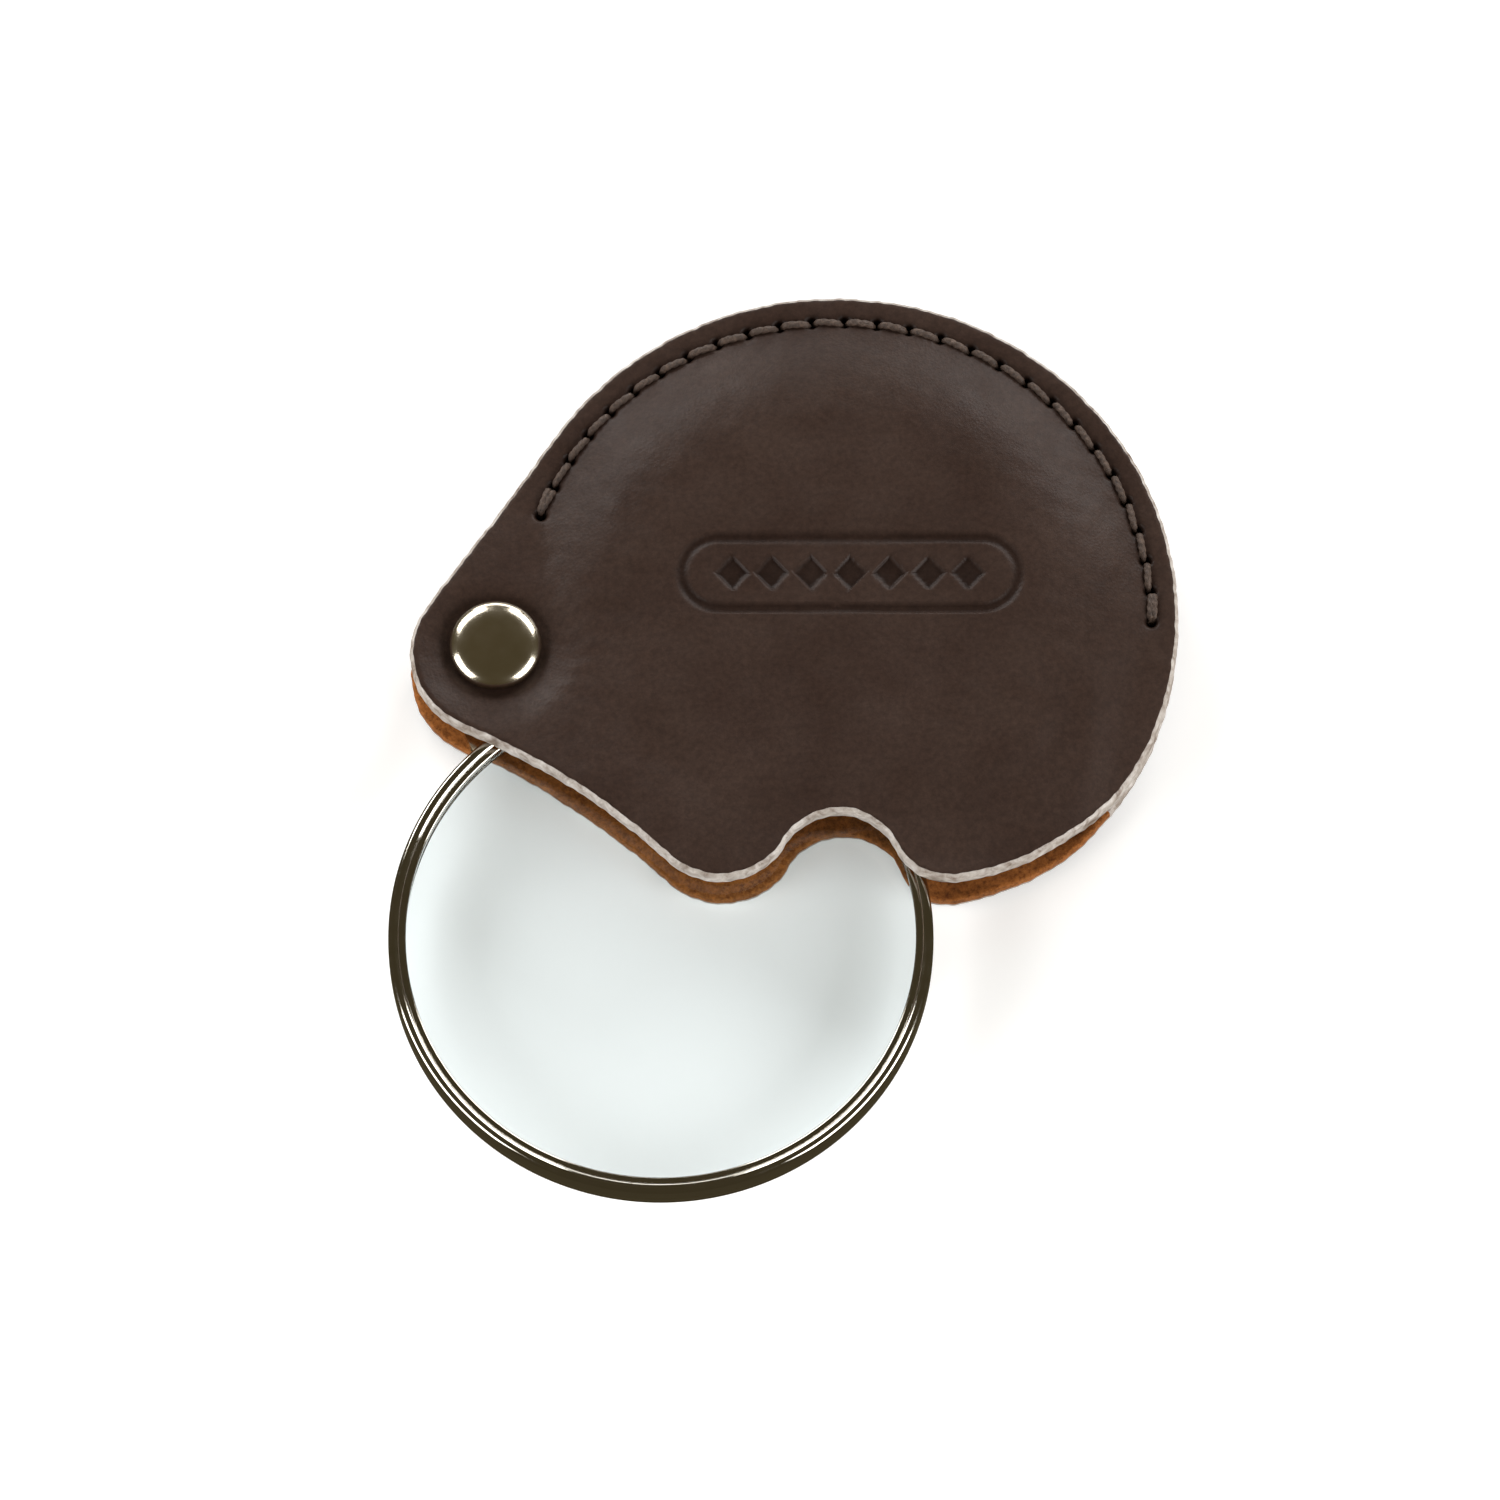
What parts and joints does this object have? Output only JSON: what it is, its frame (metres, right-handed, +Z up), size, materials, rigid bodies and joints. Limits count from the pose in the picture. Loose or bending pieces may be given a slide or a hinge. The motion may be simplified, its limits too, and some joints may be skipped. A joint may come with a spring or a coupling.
{
  "type": "magnifying glass",
  "caption": "Folding pocket magnifier: a round lens in a metal rim swings on a rivet out of a flat stitched leather case with a thumb notch.",
  "frame": {"origin": "on the flat face the case rests on, under the centre of the round pocket", "axes": "+X away from the rivet along the case, +Y to the stitched edge, +Z up through the front leaf"},
  "size_m": [0.0881, 0.0995, 0.012],
  "materials": {
    "leather": "dark brown grain outside, tan suede inside, burnished edges",
    "thread": "twisted brown waxed thread",
    "nickel": "polished warm nickel plate",
    "rivet_steel": "drawn, unpolished",
    "lens_glass": "clear, polished"
  },
  "bodies": {
    "case": {"front_leaf": "leather", "back_leaf": "leather", "needle_thread": "thread", "bobbin_thread": "thread", "front_cap": "nickel", "rivet_post": "rivet_steel", "back_cap": "nickel", "rivet_tube": "rivet_steel"},
    "lens_frame": {"rim": "nickel", "lug": "nickel", "lens": "lens_glass"}
  },
  "joints": [
    {"name": "lens_swing", "type": "hinge", "parent": "case", "child": "lens_frame", "pos_m": [-0.0367, 0, 0.006], "axis": [0, 0, 1], "range_deg": [-112.7, 67.3]}
  ]
}
